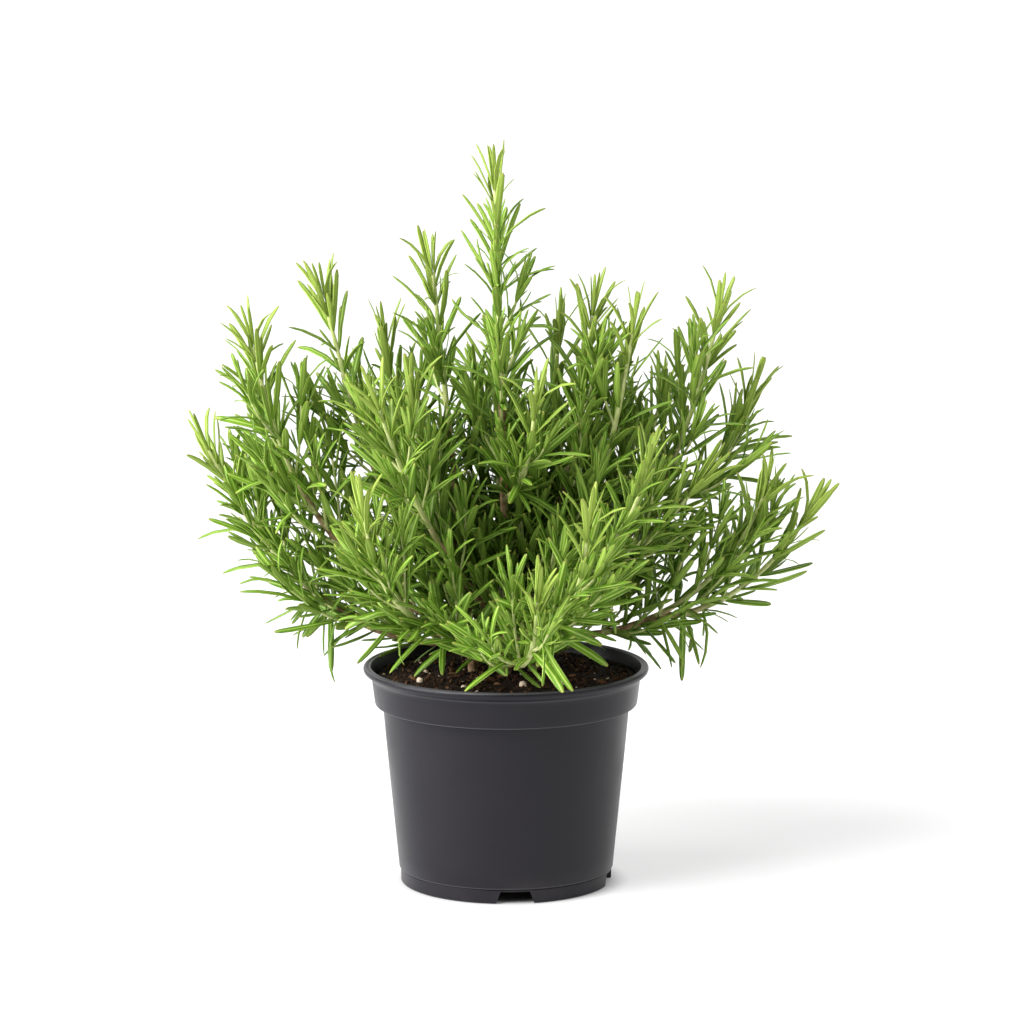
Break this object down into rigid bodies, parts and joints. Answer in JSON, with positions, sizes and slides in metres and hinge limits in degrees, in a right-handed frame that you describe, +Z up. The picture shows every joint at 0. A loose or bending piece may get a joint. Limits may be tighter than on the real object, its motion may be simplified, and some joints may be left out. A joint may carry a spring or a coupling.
{
  "type": "potted rosemary plant",
  "caption": "Bushy rosemary plant with upright needle-leaved branches, growing in compost in a round tapered nursery pot.",
  "frame": {"origin": "centre of the pot's foot ring, on the surface that the pot stands on", "axes": "+Z up along the pot's axis; +X the plant's right-hand side; -Y the front"},
  "size_m": [0.3026, 0.2341, 0.3394],
  "materials": {
    "pot_plastic": "satin",
    "compost": "matte",
    "perlite": "matte",
    "stem": "matte",
    "leaf": "satin"
  },
  "bodies": {
    "root": {"compost": "compost", "leaves_back": "leaf", "leaves_back_far_left": "leaf", "leaves_back_far_right": "leaf", "leaves_back_inner": "leaf", "leaves_back_left": "leaf", "leaves_back_right": "leaf", "leaves_centre": "leaf", "leaves_front_centre": "leaf", "leaves_front_left_high": "leaf", "leaves_front_left_low": "leaf", "leaves_front_low": "leaf", "leaves_front_right_high": "leaf", "leaves_front_right_low": "leaf", "leaves_left": "leaf", "leaves_left_back": "leaf", "leaves_left_front": "leaf", "leaves_left_high": "leaf", "leaves_left_low": "leaf", "leaves_left_middle": "leaf", "leaves_right": "leaf", "leaves_right_high": "leaf", "leaves_right_inner": "leaf", "leaves_right_low": "leaf", "leaves_right_middle": "leaf", "leaves_right_outer": "leaf", "leaves_right_side": "leaf", "nursery_pot": "pot_plastic", "perlite_grain_1": "perlite", "perlite_grain_2": "perlite", "perlite_grain_3": "perlite", "perlite_grain_4": "perlite", "perlite_grain_5": "perlite", "perlite_grain_6": "perlite", "stem_back": "stem", "stem_back_far_left": "stem", "stem_back_far_right": "stem", "stem_back_inner": "stem", "stem_back_left": "stem", "stem_back_right": "stem", "stem_centre": "stem", "stem_front_centre": "stem", "stem_front_left_high": "stem", "stem_front_left_low": "stem", "stem_front_low": "stem", "stem_front_right_high": "stem", "stem_front_right_low": "stem", "stem_left": "stem", "stem_left_back": "stem", "stem_left_front": "stem", "stem_left_high": "stem", "stem_left_low": "stem", "stem_left_middle": "stem", "stem_right": "stem", "stem_right_high": "stem", "stem_right_inner": "stem", "stem_right_low": "stem", "stem_right_middle": "stem", "stem_right_outer": "stem", "stem_right_side": "stem"}
  },
  "joints": []
}
